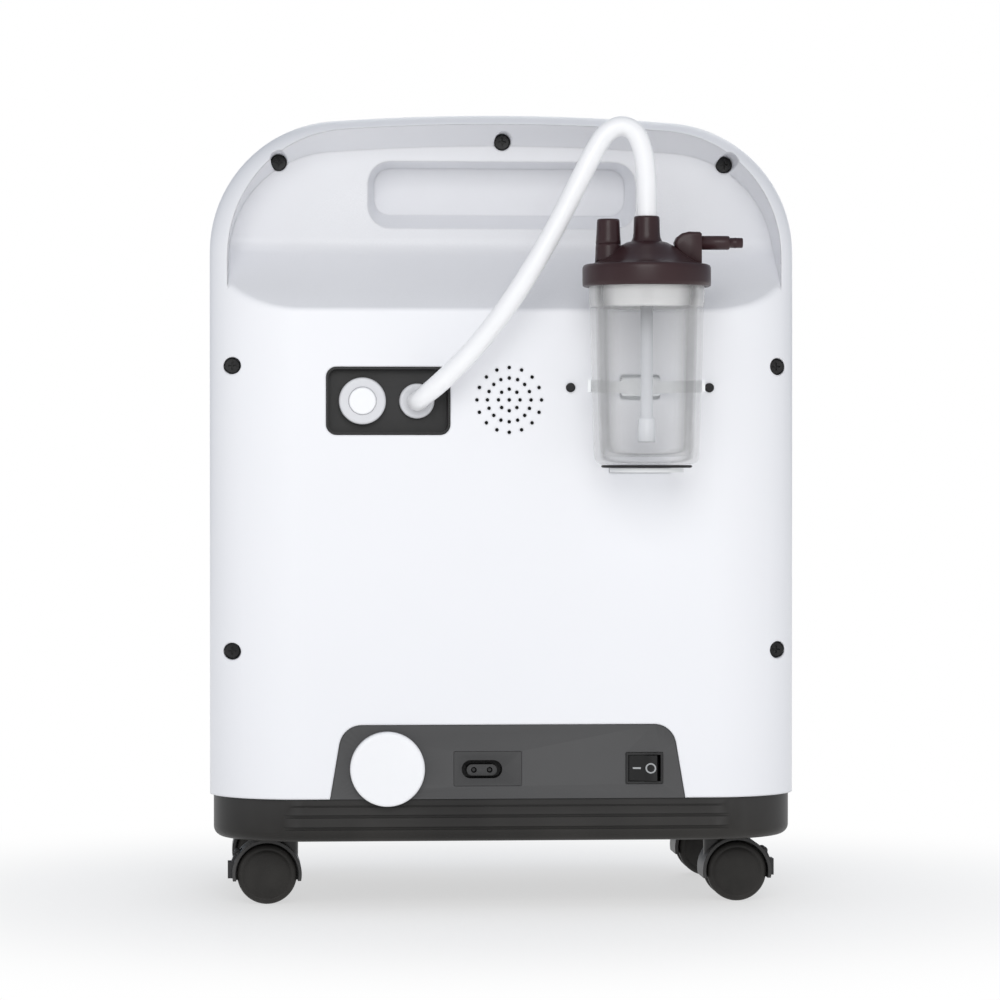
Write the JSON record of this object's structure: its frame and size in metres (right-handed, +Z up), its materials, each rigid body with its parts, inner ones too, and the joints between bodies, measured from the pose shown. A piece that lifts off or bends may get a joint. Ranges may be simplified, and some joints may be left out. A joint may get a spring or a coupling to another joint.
{
  "type": "oxygen concentrator",
  "caption": "Wheeled cabinet oxygen concentrator with carrying recess, bubble humidifier on its rear face, hose, rocker switch and swivel casters.",
  "frame": {"origin": "centre of the overall box at floor level", "axes": "+Z up; -Y out of the rear face that carries the humidifier, +Y out of the front face; +X to the right seen from behind"},
  "size_m": [0.392, 0.3996, 0.5279],
  "materials": {
    "cover_white": "satin",
    "base_dark": "gloss",
    "panel_grey": "matte",
    "cap_white": "satin",
    "black_plastic": "satin",
    "rocker_black": "gloss",
    "filter_felt": "matte",
    "lid_brown": "satin",
    "jar_clear": "clear",
    "tube_clear": "clear",
    "hose_white": "satin",
    "bracket_clear": "clear",
    "pad_rubber": "matte",
    "screw_black": "satin",
    "screen_glass": "gloss",
    "button_grey": "satin",
    "meter_clear": "clear",
    "float_steel": "satin",
    "cast_metal": "satin",
    "vessel_metal": "satin",
    "frame_steel": "satin",
    "copper_tube": "satin",
    "board_green": "satin",
    "fork_plastic": "satin",
    "wheel_rubber": "satin",
    "axle_steel": "satin",
    "brake_plastic": "satin"
  },
  "bodies": {
    "bottle_jar_body": {"bottle_jar": "jar_clear"},
    "cabinet": {"rear_cover": "cover_white", "front_cover": "cover_white", "base_tray": "base_dark", "service_panel": "panel_grey", "outlet_ports": "cap_white", "nebuliser_plug": "cap_white", "port_tray": "black_plastic", "mains_inlet": "black_plastic", "switch_frame": "black_plastic", "control_panel": "black_plastic", "fan_frame": "black_plastic", "speaker": "black_plastic", "intake_filter": "filter_felt", "bottle_lid": "lid_brown", "relief_valve": "lid_brown", "outlet_elbow": "lid_brown", "bubbler_tube": "tube_clear", "oxygen_hose": "hose_white", "internal_hoses": "hose_white", "bottle_bracket": "bracket_clear", "jar_pad": "pad_rubber", "cover_screws": "screw_black", "bracket_screws": "screw_black", "display_screen": "screen_glass", "flow_meter": "meter_clear", "compressor_springs": "float_steel", "caster_stems": "float_steel", "compressor_housing": "cast_metal", "compressor_heads": "cast_metal", "compressor_pistons": "cast_metal", "valve_block": "cast_metal", "power_supply": "cast_metal", "sieve_beds": "vessel_metal", "oxygen_tank": "vessel_metal", "support_frame": "frame_steel", "heat_exchanger": "copper_tube", "control_board": "board_green"},
    "compressor_rotor_body": {"compressor_rotor": "frame_steel"},
    "fan_rotor_body": {"fan_rotor": "black_plastic"},
    "filter_cap_body": {"filter_cap": "cap_white"},
    "flow_float_body": {"flow_float": "float_steel"},
    "flow_knob_body": {"flow_knob": "black_plastic"},
    "power_button_body": {"power_button": "button_grey"},
    "switch_rocker_body": {"switch_rocker": "rocker_black"},
    "timer_button_body": {"timer_button": "button_grey"},
    "rear_left_fork": {"rear_left_caster_fork": "fork_plastic", "rear_left_caster_axle": "axle_steel"},
    "rear_left_wheels": {"rear_left_caster_wheels": "wheel_rubber"},
    "rear_left_brake": {"rear_left_brake_lever": "brake_plastic"},
    "rear_right_fork": {"rear_right_caster_fork": "fork_plastic", "rear_right_caster_axle": "axle_steel"},
    "rear_right_wheels": {"rear_right_caster_wheels": "wheel_rubber"},
    "rear_right_brake": {"rear_right_brake_lever": "brake_plastic"},
    "front_left_fork": {"front_left_caster_fork": "fork_plastic", "front_left_caster_axle": "axle_steel"},
    "front_left_wheels": {"front_left_caster_wheels": "wheel_rubber"},
    "front_right_fork": {"front_right_caster_fork": "fork_plastic", "front_right_caster_axle": "axle_steel"},
    "front_right_wheels": {"front_right_caster_wheels": "wheel_rubber"}
  },
  "joints": [
    {"name": "swivel_rear_left", "type": "hinge", "parent": "cabinet", "child": "rear_left_fork", "pos_m": [-0.146, -0.05015, 0.03], "axis": [0, 0, 1], "continuous": true},
    {"name": "wheel_spin_rear_left", "type": "hinge", "parent": "rear_left_fork", "child": "rear_left_wheels", "pos_m": [-0.158, -0.05015, 0.02], "axis": [0, 1, 0], "continuous": true},
    {"name": "brake_rear_left", "type": "hinge", "parent": "rear_left_fork", "child": "rear_left_brake", "pos_m": [-0.1775, -0.05015, 0.033], "axis": [0, 1, 0], "range_deg": [0, 25]},
    {"name": "swivel_rear_right", "type": "hinge", "parent": "cabinet", "child": "rear_right_fork", "pos_m": [0.146, -0.05015, 0.03], "axis": [0, 0, 1], "continuous": true},
    {"name": "wheel_spin_rear_right", "type": "hinge", "parent": "rear_right_fork", "child": "rear_right_wheels", "pos_m": [0.158, -0.05015, 0.02], "axis": [0, 1, 0], "continuous": true},
    {"name": "brake_rear_right", "type": "hinge", "parent": "rear_right_fork", "child": "rear_right_brake", "pos_m": [0.1775, -0.05015, 0.033], "axis": [0, -1, 0], "range_deg": [0, 25]},
    {"name": "swivel_front_left", "type": "hinge", "parent": "cabinet", "child": "front_left_fork", "pos_m": [-0.146, 0.11785, 0.03], "axis": [0, 0, 1], "continuous": true},
    {"name": "wheel_spin_front_left", "type": "hinge", "parent": "front_left_fork", "child": "front_left_wheels", "pos_m": [-0.158, 0.11785, 0.02], "axis": [0, 1, 0], "continuous": true},
    {"name": "swivel_front_right", "type": "hinge", "parent": "cabinet", "child": "front_right_fork", "pos_m": [0.146, 0.11785, 0.03], "axis": [0, 0, 1], "continuous": true},
    {"name": "wheel_spin_front_right", "type": "hinge", "parent": "front_right_fork", "child": "front_right_wheels", "pos_m": [0.158, 0.11785, 0.02], "axis": [0, 1, 0], "continuous": true},
    {"name": "a_switch_rocker", "type": "hinge", "parent": "cabinet", "child": "switch_rocker_body", "pos_m": [0.0901, -0.10865, 0.0935], "axis": [0, 0, 1], "range_deg": [0, 12]},
    {"name": "a_filter_cap_pull", "type": "slide", "parent": "cabinet", "child": "filter_cap_body", "axis": [0, -1, 0], "range_m": [0, 0.03]},
    {"name": "b_jar_unscrew", "type": "hinge", "parent": "cabinet", "child": "bottle_jar_body", "pos_m": [0.087, -0.15815, 0.35], "axis": [0, 0, 1], "range_deg": [0, 270]},
    {"name": "c_power_button", "type": "slide", "parent": "cabinet", "child": "power_button_body", "axis": [0, -1, 0], "range_m": [0, 0.001]},
    {"name": "c_timer_button", "type": "slide", "parent": "cabinet", "child": "timer_button_body", "axis": [0, -1, 0], "range_m": [0, 0.001]},
    {"name": "c_flow_knob", "type": "hinge", "parent": "cabinet", "child": "flow_knob_body", "pos_m": [0.104, 0.18385, 0.346], "axis": [0, 1, 0], "range_deg": [0, 300]},
    {"name": "c_flow_float", "type": "slide", "parent": "cabinet", "child": "flow_float_body", "axis": [0, 0, 1], "range_m": [0, 0.0601]},
    {"name": "fan_spin", "type": "hinge", "parent": "cabinet", "child": "fan_rotor_body", "pos_m": [0, 0.04885, 0.236], "axis": [0, 0, 1], "continuous": true},
    {"name": "compressor_spin", "type": "hinge", "parent": "cabinet", "child": "compressor_rotor_body", "pos_m": [0, 0.04885, 0.138], "axis": [1, 0, 0], "continuous": true}
  ],
  "couplings": [
    {"joint": "c_flow_float", "follows": "c_flow_knob", "m_per_rad": 0.011459}
  ]
}
